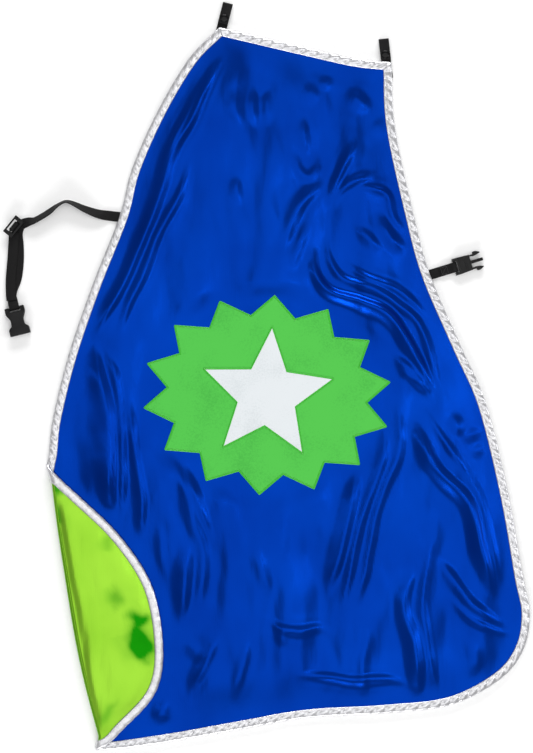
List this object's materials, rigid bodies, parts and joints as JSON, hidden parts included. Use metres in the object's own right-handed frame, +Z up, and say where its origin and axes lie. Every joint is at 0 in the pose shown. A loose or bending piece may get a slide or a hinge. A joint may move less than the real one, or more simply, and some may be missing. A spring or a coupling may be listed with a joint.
{
  "type": "superhero cape",
  "caption": "Reversible satin dress-up cape with bias-bound edges, a starburst patch, press-stud tabs and a buckled webbing belt, one corner folded over.",
  "frame": {"origin": "middle of the object's box, on the surface it lies on", "axes": "+Y along the cape from the hem to the neck, +X to the right of someone who looks down on its front, +Z up off the surface"},
  "size_m": [0.5257, 0.7478, 0.0107],
  "materials": {
    "blue_satin": "satin",
    "lime_satin": "satin",
    "silver_binding": "metallic lame",
    "green_applique": "matte",
    "white_applique": "matte",
    "green_thread": "glossy thread",
    "black_thread": "thread",
    "webbing": "woven",
    "acetal": "moulded",
    "snap": "moulded"
  },
  "bodies": {
    "cape": {"front_panel": "blue_satin", "lining_panel": "lime_satin", "neck_binding": "silver_binding", "right_binding": "silver_binding", "hem_binding": "silver_binding", "left_binding": "silver_binding", "emblem_burst": "green_applique", "emblem_star": "white_applique", "emblem_edge_stitching": "green_thread", "front_fold": "blue_satin", "lining_fold": "lime_satin", "binding_folds": "silver_binding", "left_tab_back": "webbing", "left_tab_fold": "webbing", "left_stud": "snap", "left_stud_post": "snap", "right_tab_back": "webbing", "right_tab_fold": "webbing", "right_stud": "snap", "right_stud_post": "snap", "long_strap_anchor": "webbing", "short_strap_anchor": "webbing"},
    "corner": {"corner_front": "blue_satin", "corner_lining": "lime_satin", "corner_binding": "silver_binding"},
    "left_tab": {"left_tab_flap": "webbing", "left_cap": "snap", "left_socket_ring": "snap"},
    "right_tab": {"right_tab_flap": "webbing", "right_cap": "snap", "right_socket_ring": "snap"},
    "strap_long": {"long_strap": "webbing", "long_strap_bar_loop": "webbing", "long_strap_return": "webbing"},
    "slider": {"strap_slider": "acetal", "slider_strap_end": "webbing"},
    "socket": {"buckle_socket": "acetal"},
    "strap_short": {"short_strap_loop": "webbing", "short_strap_stitching": "black_thread"},
    "plug": {"buckle_plug": "acetal"},
    "prong_left": {"plug_prong_left": "acetal"},
    "prong_right": {"plug_prong_right": "acetal"}
  },
  "joints": [
    {"name": "corner_unfold", "type": "hinge", "parent": "cape", "child": "corner", "pos_m": [-0.22, -0.089, 0.005], "axis": [0.1728, -0.985, 0], "range_deg": [0, 180], "deforming": ["front_fold", "lining_fold", "binding_folds"]},
    {"name": "left_tab_open", "type": "hinge", "parent": "cape", "child": "left_tab", "pos_m": [-0.03878, 0.37054, 0.0023], "axis": [-0.9686, 0.2487, 0], "range_deg": [0, 170], "deforming": ["left_tab_fold"]},
    {"name": "right_tab_open", "type": "hinge", "parent": "cape", "child": "right_tab", "pos_m": [0.11709, 0.33486, 0.0023], "axis": [-0.9934, -0.1149, 0], "range_deg": [0, 170], "deforming": ["right_tab_fold"]},
    {"name": "long_strap_fold", "type": "hinge", "parent": "cape", "child": "strap_long", "pos_m": [-0.152, 0.159, 0.00175], "axis": [0.1132, 0.9936, 0], "range_deg": [0, 120]},
    {"name": "short_strap_fold", "type": "hinge", "parent": "cape", "child": "strap_short", "pos_m": [0.168, 0.102, 0.00175], "axis": [0.2924, -0.9563, 0], "range_deg": [0, 120]},
    {"name": "slider_slide", "type": "slide", "parent": "strap_long", "child": "slider", "axis": [-0.0694, -0.9976, 0], "range_m": [0, 0.035], "deforming": ["long_strap_return"]},
    {"name": "socket_tilt", "type": "hinge", "parent": "strap_long", "child": "socket", "pos_m": [-0.2518, 0.067, 0.0029], "axis": [-0.9703, -0.2419, 0], "range_deg": [0, 90]},
    {"name": "plug_tilt", "type": "hinge", "parent": "strap_short", "child": "plug", "pos_m": [0.18846, 0.10826, 0.0029], "axis": [0.2924, -0.9563, 0], "range_deg": [0, 90]},
    {"name": "left_prong_flex", "type": "hinge", "parent": "plug", "child": "prong_left", "pos_m": [0.20225, 0.11927, 0.0029], "axis": [0, 0, -1], "range_deg": [0, 7], "stiffness_Nm_per_rad": 0.02},
    {"name": "right_prong_flex", "type": "hinge", "parent": "plug", "child": "prong_right", "pos_m": [0.20605, 0.10684, 0.0029], "axis": [0, 0, 1], "range_deg": [0, 7], "stiffness_Nm_per_rad": 0.02}
  ]
}
